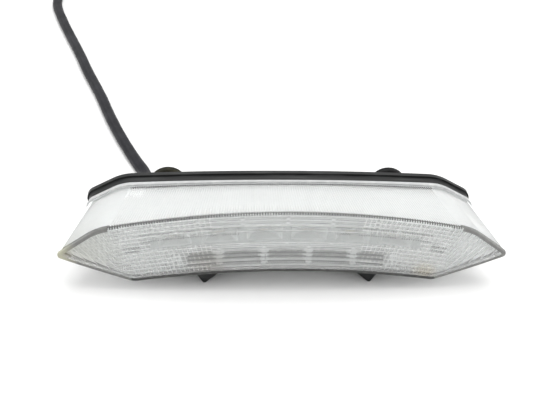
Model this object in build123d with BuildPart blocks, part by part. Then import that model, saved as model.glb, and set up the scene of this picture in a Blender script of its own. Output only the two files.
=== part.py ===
from build123d import *
import math
import os

# LED tail light of a quad or motorcycle: a clear lens bonded to a black housing, two rubber-mounted studs
# behind it, and a harness that ends in a three-way connector. The light stands on the two feet below it.
# X runs across the light, +Y points forward into the vehicle, +Z is up, and lens and housing meet at Y = 0.

os.makedirs("parts", exist_ok=True)

# Lens and housing envelope
FACE_Y = -38.0
JOINT_Y = 0.0
FACE_RADIUS = 1562.0
LENS_WALL = 2.5
LENS_FACE = 3.0
FLANGE_PROUD = 1.2
FLANGE_DEPTH = 2.0

# Housing
RIM_PROUD = 1.0
LIP_PROUD = 2.0
LIP_Y = 6.3
HOUSING_WALL = 2.5
BACK_INNER_Y = 7.0
BACK_Y = 9.5
GROOVE_OUTER = 0.2
GROOVE_INNER = 1.6
GROOVE_DEPTH = 1.4
BULGE_HALF_WIDTH = 40.0
BULGE_LOW_Z = 22.0
BULGE_HIGH_Z = 41.0
BULGE_DEPTH = 3.5
BULGE_CORNER = 5.0
RIB_COUNT = 7
RIB_PITCH = 11.0
RIB_THICKNESS = 1.8
RIB_DEPTH = 2.5
RIB_PROUD = 1.2
POST_FIN = 24.0

# Locating feet under the housing, V-shaped in section
FOOT_X = {-1: -44.3, 1: 48.9}
FOOT_FRONT_Y = -28.0
FOOT_FLAT = 1.2
FOOT_KNEE_Z = 9.0
FOOT_OUTER = 6.5
FOOT_INNER = 10.9
FOOT_TOP_Z = 17.5
FOOT_WALL = 2.6
FOOT_GAP = 0.4
RIB_STATIONS = [FOOT_FRONT_Y + FOOT_WALL, -14.0, -1.0, BACK_INNER_Y]

# Reflector tray and its cells
TRAY_CLEARANCE = 0.6
TRAY_WALL = 1.4
TRAY_FACE_GAP = 2.0
TRAY_BACK_Y = -1.0
SLAB_BACK_Y = -23.0
CELL_PITCH = 24.5
CELL_WIDTH = 22.3
CELL_BACK = 6.0
UPPER_ROW = {"z": 35.8, "height": 8.2, "drop": 13.7 / 105.2**2}
LOWER_ROW = {"z": 23.0, "height": 6.5, "drop": 8.0 / 84.2**2}
UPPER_CELLS = [(i + 0.5) * CELL_PITCH for i in range(-3, 3)]
LOWER_CELLS = [i * CELL_PITCH for i in range(-2, 3)]

# Board and electronics
BOARD_FRONT_Y = -22.6
BOARD_THICKNESS = 1.6
BOARD_BACK_Y = BOARD_FRONT_Y + BOARD_THICKNESS
BOARD_INSET = 5.2
LED_SIZE = 5.0
LED_HEIGHT = 2.0
LED_DOME_R = 1.9
SCREW_X = (-73.5, -24.5, 24.5, 73.5)
SCREW_R = 1.45
SCREW_HEAD_R = 2.8
SCREW_HEAD = 2.0
SCREW_REACH = 5.5
SCREW_FIT = 0.05
RESISTOR_X = (-33.0, -11.0, 11.0, 33.0)
DIODE_X = (-46.0, 46.0)
COMPONENT_Z = 33.0
RESISTOR_R = 1.3
RESISTOR_LENGTH = 6.5
DIODE_R = 1.4
DIODE_LENGTH = 5.2
LEG_R = 0.35
LEG_LENGTH = 2.5
LEG_LIFT = 0.3
TERMINAL_X = -58.0
TERMINAL_Z = 30.0
TERMINAL_WIDTH = 12.0
TERMINAL_HEIGHT = 8.0
TERMINAL_DEPTH = 7.0
TERMINAL_PITCH = 3.0
TERMINAL_GRIP = 4.0
LANE_Y = -10.0
LANE_RISE = 2.0
BUNDLE_R = 1.7

# Mounting studs, grommets and collars
MOUNT_X = 64.5
MOUNT_Z = 34.8
POST_R = 8.0
POST_Y = 12.5
STUD_R = 3.0
STUD_SHANK_R = 3.1
STUD_HEAD_R = 5.5
STUD_HEAD = 2.5
STUD_END_Y = 38.0
STUD_CHAMFER = 0.6
STUD_FIT = 0.03
GROMMET_R = 11.0
GROMMET_NECK_R = 7.0
GROMMET_NECK_Y = (16.5, 19.5)
GROMMET_END_Y = 24.5
GROMMET_ROUND = 1.0
COLLAR_R = 4.5
COLLAR_BORE_R = 3.2
COLLAR_FLANGE_R = 7.0
COLLAR_END_Y = 25.5
COLLAR_FIT = 0.02

# Cable exit and vent in the back wall
CABLE_X = -84.0
CABLE_Z = 33.0
CABLE_HOLE_R = 6.05
CABLE_NECK_R = 6.0
CABLE_FLANGE_R = 8.0
CABLE_FLANGE = 2.5
CABLE_NOSE_R = 6.4
CABLE_TIP_R = 4.6
CABLE_TIP_Y = 23.0
VENT_X = 84.0
VENT_Z = 33.0
VENT_HOLE_R = 3.0
VENT_CAP_R = 6.0
VENT_CAP = 4.0
VENT_ROUND = 1.5

# Harness: a vinyl sheath that drops to the ground behind the light and wanders off to its connector
SHEATH_R = 3.5
GROUND_Z = 3.6
SHEATH_START_Y = 14.0
PLUG_Z = 4.3
PLUG_Y = 486.0
SHEATH_END_X = -85.0
ROUTE = [
    (CABLE_X, SHEATH_START_Y, CABLE_Z),
    (CABLE_X, 35.0, CABLE_Z),
    (-83.0, 54.0, 24.0),
    (-80.6, 72.0, 11.5),
    (-79.0, 91.0, 4.6),
    (-86.6, 113.0, GROUND_Z),
    (-96.4, 143.0, GROUND_Z),
    (-106.5, 178.0, GROUND_Z),
    (-115.5, 217.0, GROUND_Z),
    (-127.0, 257.0, GROUND_Z),
    (-137.5, 297.0, GROUND_Z),
    (-148.5, 335.0, GROUND_Z),
    (-157.0, 375.0, GROUND_Z),
    (-166.0, 414.0, GROUND_Z),
    (-163.0, 446.0, GROUND_Z),
    (-144.0, 474.0, GROUND_Z),
    (-113.0, PLUG_Y, PLUG_Z),
    (SHEATH_END_X, PLUG_Y, PLUG_Z),
]
SLEEVE_LENGTH = 11.0
SLEEVE_WALL = 0.6

# Wires inside the sheath
WIRE_R = 1.15
WIRE_PITCH = 2.3
WIRE_NAMES = ("wire_tail", "wire_brake", "wire_ground")

# Connector on the far end, along +X
PLUG_X = SHEATH_END_X + 14.0
PLUG_LENGTH = 26.0
PLUG_WIDTH = 15.4
PLUG_HEIGHT = 8.4
PLUG_EDGE = 1.0
CAVITY_PITCH = 4.4
CAVITY_R = 1.3
SEAL_BORE_R = 2.0
SEAL_BORE = 5.0
SEAL_GAP = 0.03
TERMINAL_START = 10.0
TERMINAL_LENGTH = 12.0
TERMINAL_R = 1.2
TERMINAL_BORE_R = 0.7
LOCK_DEPTH = 2.0
LATCH_LENGTH = 16.0
LATCH_WIDTH = 5.0
LATCH_THICKNESS = 1.4
LATCH_PIVOT_X = PLUG_X + 13.0
LATCH_PIVOT_Z = 10.9
LATCH_HOOK = 1.0
LOCK_WIDTH = 12.4
LOCK_HEIGHT = 5.4
LEAD_STRAIGHT = 3.0
PIVOT_R = 0.7
EAR_HOLE_R = 0.75
EAR_GAP = 0.35
EAR_THICKNESS = 1.6
EAR_R = 1.9


def unit(start, end):
    """Direction from one point of the outline to another."""
    length = math.dist(start, end)
    return ((end[0] - start[0]) / length, (end[1] - start[1]) / length)


def inner_corner(corner, before, after, distance):
    """A corner moved inwards until both sides that meet there have moved by the distance."""
    normal_1 = (before[1], -before[0])
    normal_2 = (after[1], -after[0])
    share = distance / (1 + normal_1[0] * normal_2[0] + normal_1[1] * normal_2[1])
    return tuple(corner[i] + share * (normal_1[i] + normal_2[i]) for i in range(2))


class Outline:
    """Cross section of the light: an arch with a pointed end at each side, the same left and right."""

    SMALLEST_RADIUS = 1.0

    def __init__(self, top, shoulder, tip, heel, bottom, radii):
        self.top = top
        self.shoulder = shoulder
        self.tip = tip
        self.heel = heel
        self.bottom = bottom
        self.radii = radii

    def towards(self, other, share):
        """The outline part of the way to another one."""
        corners = []
        pairs = ((self.shoulder, other.shoulder), (self.tip, other.tip), (self.heel, other.heel))
        for mine, theirs in pairs:
            corners.append(tuple(a + share * (b - a) for a, b in zip(mine, theirs)))
        top = self.top + share * (other.top - self.top)
        bottom = self.bottom + share * (other.bottom - self.bottom)
        radii = tuple(a + share * (b - a) for a, b in zip(self.radii, other.radii))
        return Outline(top, *corners, bottom, radii)

    def inset(self, distance):
        """The outline with every side moved inwards, or outwards when the distance is negative."""
        top_angle = 2 * math.atan((self.top - self.shoulder[1]) / self.shoulder[0])
        bottom_angle = 2 * math.atan((self.bottom - self.heel[1]) / self.heel[0])
        along_top = (math.cos(top_angle), -math.sin(top_angle))
        upper_side = unit(self.shoulder, self.tip)
        lower_side = unit(self.tip, self.heel)
        along_bottom = (-math.cos(bottom_angle), math.sin(bottom_angle))
        shoulder = inner_corner(self.shoulder, along_top, upper_side, distance)
        tip = inner_corner(self.tip, upper_side, lower_side, distance)
        heel = inner_corner(self.heel, lower_side, along_bottom, distance)
        radii = tuple(max(self.SMALLEST_RADIUS, radius - distance) for radius in self.radii)
        return Outline(self.top - distance, shoulder, tip, heel, self.bottom + distance, radii)


FRONT_OUTLINE = Outline(51.0, (105.2, 37.3), (129.7, 18.3), (84.2, 5.2), 13.2, (34.0, 2.2, 9.0))
REAR_OUTLINE = Outline(49.1, (89.9, 47.0), (112.5, 34.8), (72.0, 13.0), 17.0, (24.0, 4.0, 9.0))


def outline_at(y):
    """The lens's outline at a depth, on the straight taper from face to joint."""
    return FRONT_OUTLINE.towards(REAR_OUTLINE, (y - FACE_Y) / (JOINT_Y - FACE_Y))


def section(outline, y):
    """An outline as a filled face at a depth."""
    with BuildSketch(Plane.XZ.offset(-y)) as sketch:
        shoulder, tip, heel = outline.shoulder, outline.tip, outline.heel
        with BuildLine():
            ThreePointArc((-shoulder[0], shoulder[1]), (0, outline.top), shoulder)
            Polyline(shoulder, tip, heel)
            ThreePointArc(heel, (0, outline.bottom), (-heel[0], heel[1]))
            Polyline((-heel[0], heel[1]), (-tip[0], tip[1]), (-shoulder[0], shoulder[1]))
        make_face()
        for corner, radius in zip((shoulder, tip, heel), outline.radii):
            for side in (-1, 1):
                fillet(sketch.vertices().sort_by_distance((side * corner[0], corner[1]))[0], radius)
    return sketch.sketch


def tapered_form(inset, y_front, y_back):
    """The lens's tapered form moved inwards, between two depths."""
    with BuildPart() as form:
        front = section(outline_at(y_front).inset(inset), y_front)
        back = section(outline_at(y_back).inset(inset), y_back)
        loft(sections=[front, back], ruled=True)
    return form.part


def curved_form(inset, face_gap, y_back):
    """The tapered form with a front that follows the lens's face, a gap behind it."""
    with BuildPart() as form:
        add(tapered_form(inset, FACE_Y, y_back))
        with BuildSketch(Plane.XY.offset(-10)):
            with Locations((0, FACE_Y + face_gap + FACE_RADIUS)):
                Circle(FACE_RADIUS)
        extrude(amount=80, mode=Mode.INTERSECT)
    return form.part


def plate(outline, y_front, y_back):
    """A flat plate of an outline between two depths."""
    with BuildPart() as slab:
        extrude(section(outline, y_back), amount=y_back - y_front)
    return slab.part


def rod(x, z, radius, y_front, y_back):
    """A round bar along Y."""
    with BuildPart() as bar:
        with BuildSketch(Plane.XZ.offset(-y_back)):
            with Locations((x, z)):
                Circle(radius)
        extrude(amount=y_back - y_front)
    return bar.part


def block(x, z, width, height, y_front, y_back):
    """A square-edged block between two depths."""
    with BuildPart() as brick:
        with BuildSketch(Plane.XZ.offset(-y_back)):
            with Locations((x, z)):
                Rectangle(width, height)
        extrude(amount=y_back - y_front)
    return brick.part


def row_place(row, x):
    """Height and slope of a row of cells at a place across the light."""
    height = row["z"] - row["drop"] * x**2
    slope = math.degrees(math.atan(-2 * row["drop"] * x))
    return height, slope


def cell_pocket(row, x):
    """The funnel of one reflector cell, from its window at the front to its light source."""
    height, slope = row_place(row, x)
    front_y = FACE_Y + LENS_FACE
    with BuildPart() as funnel:
        with BuildSketch(Plane.XZ.offset(-front_y)):
            with Locations(Location((x, height, 0), (0, 0, slope))):
                Rectangle(CELL_WIDTH, row["height"])
        with BuildSketch(Plane.XZ.offset(-SLAB_BACK_Y)):
            with Locations(Location((x, height, 0), (0, 0, slope))):
                Rectangle(CELL_BACK, CELL_BACK)
        loft(ruled=True)
    return funnel.part


def screw_z(x):
    """Height of the band between the two rows, where the board screws sit."""
    upper = row_place(UPPER_ROW, x)[0] - UPPER_ROW["height"] / 2
    lower = row_place(LOWER_ROW, x)[0] + LOWER_ROW["height"] / 2
    return (upper + lower) / 2


def light_sources(row, places):
    """Square light sources with a dome, one for each cell of a row."""
    with BuildPart() as group:
        for x in places:
            height, slope = row_place(row, x)
            with BuildSketch(Plane.XZ.offset(-BOARD_FRONT_Y)):
                with Locations(Location((x, height, 0), (0, 0, slope))):
                    Rectangle(LED_SIZE, LED_SIZE)
            extrude(amount=LED_HEIGHT)
            with Locations((x, BOARD_FRONT_Y - LED_HEIGHT, height)):
                Sphere(LED_DOME_R)
    return group


def arc_radii(points):
    """For each inner point of a route, the largest arc that its two runs allow."""
    radii = []
    for before, here, after in zip(points, points[1:], points[2:]):
        turn = (Vector(here) - Vector(before)).get_angle(Vector(after) - Vector(here))
        run = min(math.dist(before, here), math.dist(here, after))
        radii.append(0.45 * run / math.tan(math.radians(turn / 2)))
    return radii


def tube(points, radius):
    """A round bar along straight runs joined by tangent arcs, and the length of its path."""
    with BuildPart() as bar:
        with BuildLine() as path:
            FilletPolyline(*points, radius=arc_radii(points))
        with BuildSketch(Plane(origin=points[0], z_dir=Vector(points[1]) - Vector(points[0]))):
            Circle(radius)
        sweep()
    return bar, sum(edge.length for edge in path.line.edges())


def axial_parts(places, body_r, body_length):
    """Resistors or diodes on the back of the board: a round body on a wire bent down at both ends."""
    centre_y = BOARD_BACK_Y + body_r + LEG_LIFT
    half_span = body_length / 2 + LEG_LENGTH
    with BuildPart() as group:
        for x in places:
            z = COMPONENT_Z - UPPER_ROW["drop"] * x**2
            with BuildSketch(Plane.YZ.offset(x - body_length / 2)):
                with Locations((centre_y, z)):
                    Circle(body_r)
            extrude(amount=body_length)
            leg_points = [
                (x - half_span, BOARD_BACK_Y, z),
                (x - half_span, centre_y, z),
                (x + half_span, centre_y, z),
                (x + half_span, BOARD_BACK_Y, z),
            ]
            add(tube(leg_points, LEG_R)[0].part)
    return group


def foot_block(side, top, inset, y_front, y_back):
    """The V-shaped section of the left (-1) or right (1) locating foot between two depths, moved inwards by
    the inset."""
    outer, inner = side * FOOT_OUTER, side * FOOT_INNER
    with BuildPart() as wedge:
        with BuildSketch(Plane.XZ.offset(-y_back)):
            with BuildLine():
                Polyline(
                    (FOOT_X[side] - side * FOOT_FLAT / 2, 0),
                    (FOOT_X[side] + side * FOOT_FLAT / 2, 0),
                    (FOOT_X[side] + outer, FOOT_KNEE_Z),
                    (FOOT_X[side] + outer, top),
                    (FOOT_X[side] - inner, top),
                    (FOOT_X[side] - inner, FOOT_KNEE_Z),
                    close=True,
                )
            make_face()
            if inset:
                offset(amount=-inset, kind=Kind.INTERSECTION)
        extrude(amount=y_back - y_front)
    return wedge.part


def locating_foot(side):
    """A trough with a closed front and cross ribs, cut to clear the lens above it."""
    with BuildPart() as foot:
        add(foot_block(side, FOOT_TOP_Z, 0, FOOT_FRONT_Y, BACK_Y))
        for start, end in zip(RIB_STATIONS, RIB_STATIONS[1:]):
            cut = foot_block(side, 2 * FOOT_TOP_Z, FOOT_WALL, start, end - RIB_THICKNESS)
            add(cut, mode=Mode.SUBTRACT)
        add(tapered_form(-FOOT_GAP, FACE_Y, JOINT_Y), mode=Mode.SUBTRACT)
        flange_clearance = REAR_OUTLINE.inset(-FLANGE_PROUD - FOOT_GAP)
        add(plate(flange_clearance, JOINT_Y - FLANGE_DEPTH - FOOT_GAP, JOINT_Y), mode=Mode.SUBTRACT)
        add(plate(REAR_OUTLINE.inset(HOUSING_WALL), JOINT_Y, BACK_INNER_Y), mode=Mode.SUBTRACT)
    return foot.part


def finish(builder, name):
    """Names a finished piece and writes it."""
    builder.part.label = name
    export_step(builder.part, f"parts/{name}.step")


# Lens: one clear moulding with a thin flange round its open back
with BuildPart() as lens:
    add(curved_form(0, 0, JOINT_Y))
    add(plate(REAR_OUTLINE.inset(-FLANGE_PROUD), JOINT_Y - FLANGE_DEPTH, JOINT_Y))
    add(curved_form(LENS_WALL, LENS_FACE, JOINT_Y + 1), mode=Mode.SUBTRACT)
finish(lens, "lens")

# Housing: rim with a seal groove and a rear lip, back wall with bulge, ribs, mounting posts and both feet
with BuildPart() as housing:
    add(plate(REAR_OUTLINE.inset(-RIM_PROUD), JOINT_Y, BACK_Y))
    add(plate(REAR_OUTLINE.inset(-LIP_PROUD), LIP_Y, BACK_Y))
    add(plate(REAR_OUTLINE.inset(HOUSING_WALL), JOINT_Y, BACK_INNER_Y), mode=Mode.SUBTRACT)
    with BuildSketch(Plane.XZ.offset(-BACK_Y - BULGE_DEPTH)):
        with Locations((0, (BULGE_LOW_Z + BULGE_HIGH_Z) / 2)):
            RectangleRounded(2 * BULGE_HALF_WIDTH, BULGE_HIGH_Z - BULGE_LOW_Z, BULGE_CORNER)
    extrude(amount=BULGE_DEPTH + HOUSING_WALL)
    with BuildSketch(Plane.XZ.offset(-BACK_Y - BULGE_DEPTH + HOUSING_WALL)):
        with Locations((0, (BULGE_LOW_Z + BULGE_HIGH_Z) / 2)):
            inner_height = BULGE_HIGH_Z - BULGE_LOW_Z - 2 * HOUSING_WALL
            RectangleRounded(2 * (BULGE_HALF_WIDTH - HOUSING_WALL), inner_height, BULGE_CORNER / 2)
    extrude(amount=BULGE_DEPTH + 1, mode=Mode.SUBTRACT)
    for i in range(RIB_COUNT):
        rib_x = (i - (RIB_COUNT - 1) / 2) * RIB_PITCH
        rib_z = (BULGE_LOW_Z + BULGE_HIGH_Z) / 2
        rib_height = BULGE_HIGH_Z - BULGE_LOW_Z + RIB_DEPTH
        add(block(rib_x, rib_z, RIB_THICKNESS, rib_height, BACK_Y - 1, BACK_Y + BULGE_DEPTH + RIB_PROUD))
    for side in (-1, 1):
        add(locating_foot(side))
        fin_x = side * (MOUNT_X - POST_FIN / 4)
        add(block(fin_x, MOUNT_Z, POST_FIN / 2, RIB_THICKNESS, BACK_Y - 1, BACK_Y + RIB_DEPTH))
        add(block(side * MOUNT_X, MOUNT_Z, RIB_THICKNESS, POST_FIN, BACK_Y - 1, BACK_Y + RIB_DEPTH))
        add(rod(side * MOUNT_X, MOUNT_Z, POST_R, BACK_Y - 1, POST_Y))
        add(rod(side * MOUNT_X, MOUNT_Z, STUD_SHANK_R + STUD_FIT, BACK_INNER_Y, POST_Y), mode=Mode.SUBTRACT)
    add(plate(REAR_OUTLINE.inset(GROOVE_OUTER), JOINT_Y, JOINT_Y + GROOVE_DEPTH), mode=Mode.SUBTRACT)
    inner_land = plate(REAR_OUTLINE.inset(GROOVE_INNER), JOINT_Y, JOINT_Y + GROOVE_DEPTH)
    add(inner_land - plate(REAR_OUTLINE.inset(HOUSING_WALL), JOINT_Y, JOINT_Y + GROOVE_DEPTH))
    add(rod(CABLE_X, CABLE_Z, CABLE_HOLE_R, BACK_INNER_Y, BACK_Y), mode=Mode.SUBTRACT)
    add(rod(VENT_X, VENT_Z, VENT_HOLE_R, BACK_INNER_Y, BACK_Y), mode=Mode.SUBTRACT)
finish(housing, "housing")

# Seal bead in the housing's groove
with BuildPart() as lens_seal:
    add(plate(REAR_OUTLINE.inset(GROOVE_OUTER + SEAL_GAP), JOINT_Y, JOINT_Y + GROOVE_DEPTH))
    inside = plate(REAR_OUTLINE.inset(GROOVE_INNER - SEAL_GAP), JOINT_Y, JOINT_Y + GROOVE_DEPTH)
    add(inside, mode=Mode.SUBTRACT)
finish(lens_seal, "lens_seal")

# Reflector tray: a front slab with two rows of funnels, and a skirt that follows the lens's walls
tray_inset = LENS_WALL + TRAY_CLEARANCE
with BuildPart() as reflector_tray:
    add(curved_form(tray_inset, LENS_FACE + TRAY_FACE_GAP, TRAY_BACK_Y))
    add(tapered_form(tray_inset + TRAY_WALL, SLAB_BACK_Y, TRAY_BACK_Y + 1), mode=Mode.SUBTRACT)
    for x in UPPER_CELLS:
        add(cell_pocket(UPPER_ROW, x), mode=Mode.SUBTRACT)
    for x in LOWER_CELLS:
        add(cell_pocket(LOWER_ROW, x), mode=Mode.SUBTRACT)
    for x in SCREW_X:
        screw_hole = rod(x, screw_z(x), SCREW_R + SCREW_FIT, BOARD_FRONT_Y - SCREW_REACH - 1, SLAB_BACK_Y)
        add(screw_hole, mode=Mode.SUBTRACT)
finish(reflector_tray, "reflector_tray")

# Board with its light sources, resistors, diodes, screws and wire terminal
with BuildPart() as led_board:
    add(plate(outline_at(BOARD_FRONT_Y).inset(BOARD_INSET), BOARD_FRONT_Y, BOARD_BACK_Y))
    for x in SCREW_X:
        add(rod(x, screw_z(x), SCREW_R + SCREW_FIT, BOARD_FRONT_Y, BOARD_BACK_Y), mode=Mode.SUBTRACT)
finish(led_board, "led_board")

finish(light_sources(UPPER_ROW, UPPER_CELLS), "leds_upper_row")
finish(light_sources(LOWER_ROW, LOWER_CELLS), "leds_lower_row")
finish(axial_parts(RESISTOR_X, RESISTOR_R, RESISTOR_LENGTH), "resistors")
finish(axial_parts(DIODE_X, DIODE_R, DIODE_LENGTH), "polarity_diodes")

with BuildPart() as board_screws:
    for x in SCREW_X:
        add(rod(x, screw_z(x), SCREW_R, BOARD_FRONT_Y - SCREW_REACH, BOARD_BACK_Y))
        add(rod(x, screw_z(x), SCREW_HEAD_R, BOARD_BACK_Y, BOARD_BACK_Y + SCREW_HEAD))
finish(board_screws, "board_screws")

with BuildPart() as board_terminal:
    terminal_back_y = BOARD_BACK_Y + TERMINAL_DEPTH
    add(block(TERMINAL_X, TERMINAL_Z, TERMINAL_WIDTH, TERMINAL_HEIGHT, BOARD_BACK_Y, terminal_back_y))
    for i in (-1, 0, 1):
        wire_x = TERMINAL_X + i * TERMINAL_PITCH
        wire_hole = rod(wire_x, TERMINAL_Z, WIRE_R, terminal_back_y - TERMINAL_GRIP, terminal_back_y)
        add(wire_hole, mode=Mode.SUBTRACT)
finish(board_terminal, "board_terminal")

# Internal wires, from the terminal across to the cable exit, where they enter the sheath as a triangle
for i, name in enumerate(WIRE_NAMES):
    start_x = TERMINAL_X + (i - 1) * TERMINAL_PITCH
    lane_y = LANE_Y + i * TERMINAL_PITCH
    angle = math.radians(210 - 120 * i)
    exit_x = CABLE_X + BUNDLE_R * math.cos(angle)
    exit_z = CABLE_Z + BUNDLE_R * math.sin(angle)
    wire_points = [
        (start_x, terminal_back_y - TERMINAL_GRIP, TERMINAL_Z),
        (start_x, lane_y, TERMINAL_Z),
        (exit_x, lane_y + LANE_RISE, exit_z),
        (exit_x, SHEATH_START_Y, exit_z),
    ]
    wire, wire_length = tube(wire_points, WIRE_R)
    finish(wire, name)

# Mounting studs, set in the back wall, with a plain shank through the collar and a free end behind it
for side, name in ((-1, "left"), (1, "right")):
    with BuildPart() as mount_stud:
        add(rod(side * MOUNT_X, MOUNT_Z, STUD_HEAD_R, BACK_INNER_Y - STUD_HEAD, BACK_INNER_Y))
        add(rod(side * MOUNT_X, MOUNT_Z, STUD_SHANK_R, BACK_INNER_Y, COLLAR_END_Y))
        add(rod(side * MOUNT_X, MOUNT_Z, STUD_R, COLLAR_END_Y, STUD_END_Y))
        chamfer(mount_stud.edges().sort_by(Axis.Y)[-1], STUD_CHAMFER)
    finish(mount_stud, f"mount_stud_{name}")

    with BuildPart() as mount_grommet:
        add(rod(side * MOUNT_X, MOUNT_Z, GROMMET_R, POST_Y, GROMMET_NECK_Y[0]))
        add(rod(side * MOUNT_X, MOUNT_Z, GROMMET_NECK_R, *GROMMET_NECK_Y))
        add(rod(side * MOUNT_X, MOUNT_Z, GROMMET_R, GROMMET_NECK_Y[1], GROMMET_END_Y))
        rings = mount_grommet.edges().filter_by(GeomType.CIRCLE)
        fillet(rings.filter_by(lambda ring: ring.radius > GROMMET_R - 0.1), GROMMET_ROUND)
        add(rod(side * MOUNT_X, MOUNT_Z, COLLAR_R + COLLAR_FIT, POST_Y, GROMMET_END_Y), mode=Mode.SUBTRACT)
    finish(mount_grommet, f"mount_grommet_{name}")

with BuildPart() as mount_collars:
    for side in (-1, 1):
        add(rod(side * MOUNT_X, MOUNT_Z, COLLAR_R, POST_Y, GROMMET_END_Y))
        add(rod(side * MOUNT_X, MOUNT_Z, COLLAR_FLANGE_R, GROMMET_END_Y, COLLAR_END_Y))
        add(rod(side * MOUNT_X, MOUNT_Z, COLLAR_BORE_R, POST_Y, COLLAR_END_Y), mode=Mode.SUBTRACT)
finish(mount_collars, "mount_collars")

# Cable exit: a rubber grommet in the back wall with a tapered nose round the sheath
with BuildPart() as wire_grommet:
    with BuildSketch(Plane.XY.offset(CABLE_Z)):
        with BuildLine():
            Polyline(
                (CABLE_X + SHEATH_R, BACK_INNER_Y - CABLE_FLANGE),
                (CABLE_X + CABLE_FLANGE_R, BACK_INNER_Y - CABLE_FLANGE),
                (CABLE_X + CABLE_FLANGE_R, BACK_INNER_Y),
                (CABLE_X + CABLE_NECK_R, BACK_INNER_Y),
                (CABLE_X + CABLE_NECK_R, BACK_Y),
                (CABLE_X + CABLE_FLANGE_R, BACK_Y),
                (CABLE_X + CABLE_FLANGE_R, BACK_Y + CABLE_FLANGE),
                (CABLE_X + CABLE_NOSE_R, BACK_Y + CABLE_FLANGE),
                (CABLE_X + CABLE_TIP_R, CABLE_TIP_Y),
                (CABLE_X + SHEATH_R, CABLE_TIP_Y),
                close=True,
            )
        make_face()
    revolve(axis=Axis((CABLE_X, 0, CABLE_Z), (0, 1, 0)))
finish(wire_grommet, "wire_grommet")

# Breather vent: a small mushroom cap with a stem through the back wall
with BuildPart() as vent_cap:
    add(rod(VENT_X, VENT_Z, VENT_HOLE_R - SEAL_GAP, BACK_INNER_Y - 1, BACK_Y))
    add(rod(VENT_X, VENT_Z, VENT_CAP_R, BACK_Y, BACK_Y + VENT_CAP))
    fillet(vent_cap.edges().group_by(Axis.Y)[-1], VENT_ROUND)
finish(vent_cap, "vent_cap")

# Harness sheath
harness_sheath, sheath_length = tube(ROUTE, SHEATH_R)
print("sheath radii", [round(radius, 1) for radius in arc_radii(ROUTE)])
print("sheath length", round(sheath_length, 1), "volume", round(harness_sheath.part.volume))
print("section times length", round(math.pi * SHEATH_R**2 * sheath_length))
finish(harness_sheath, "harness_sheath")

with BuildPart() as sheath_sleeve:
    with BuildSketch(Plane.YZ.offset(SHEATH_END_X - SLEEVE_LENGTH)):
        with Locations((PLUG_Y, PLUG_Z)):
            Circle(SHEATH_R + SLEEVE_WALL)
            Circle(SHEATH_R, mode=Mode.SUBTRACT)
    extrude(amount=SLEEVE_LENGTH)
finish(sheath_sleeve, "sheath_sleeve")

# Connector: leads, seals, terminals, body, front lock and the rocking latch on top
terminal_x = PLUG_X + TERMINAL_START
with BuildPart() as connector_leads:
    for i in (-1, 0, 1):
        inner_y = PLUG_Y + i * WIRE_PITCH
        outer_y = PLUG_Y + i * CAVITY_PITCH
        if i:
            lead_points = [
                (SHEATH_END_X, inner_y, PLUG_Z),
                (SHEATH_END_X + LEAD_STRAIGHT, inner_y, PLUG_Z),
                (PLUG_X - LEAD_STRAIGHT, outer_y, PLUG_Z),
                (terminal_x, outer_y, PLUG_Z),
            ]
            add(tube(lead_points, WIRE_R)[0].part)
        else:
            with BuildSketch(Plane.YZ.offset(SHEATH_END_X)):
                with Locations((inner_y, PLUG_Z)):
                    Circle(WIRE_R)
            extrude(amount=terminal_x - SHEATH_END_X)
finish(connector_leads, "connector_leads")

cavity_places = [(PLUG_Y + i * CAVITY_PITCH, PLUG_Z) for i in (-1, 0, 1)]
plug_front_x = PLUG_X + PLUG_LENGTH


def round_bars(radius, bore, start_x, end_x):
    """Three round bars or rings along X, one for each cavity of the connector."""
    with BuildPart() as group:
        with BuildSketch(Plane.YZ.offset(start_x)):
            with Locations(*cavity_places):
                Circle(radius)
                if bore:
                    Circle(bore, mode=Mode.SUBTRACT)
        extrude(amount=end_x - start_x)
    return group


finish(round_bars(SEAL_BORE_R - SEAL_GAP, WIRE_R + SEAL_GAP, PLUG_X, PLUG_X + SEAL_BORE), "connector_seals")
terminal_end_x = terminal_x + TERMINAL_LENGTH
finish(round_bars(TERMINAL_R, TERMINAL_BORE_R, terminal_x, terminal_end_x), "connector_terminals")

with BuildPart() as connector_lock:
    with BuildSketch(Plane.YZ.offset(plug_front_x - LOCK_DEPTH)):
        with Locations((PLUG_Y, PLUG_Z)):
            RectangleRounded(LOCK_WIDTH, LOCK_HEIGHT, PLUG_EDGE)
        with Locations(*cavity_places):
            Circle(TERMINAL_BORE_R, mode=Mode.SUBTRACT)
    extrude(amount=LOCK_DEPTH)
finish(connector_lock, "connector_lock")

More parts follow.
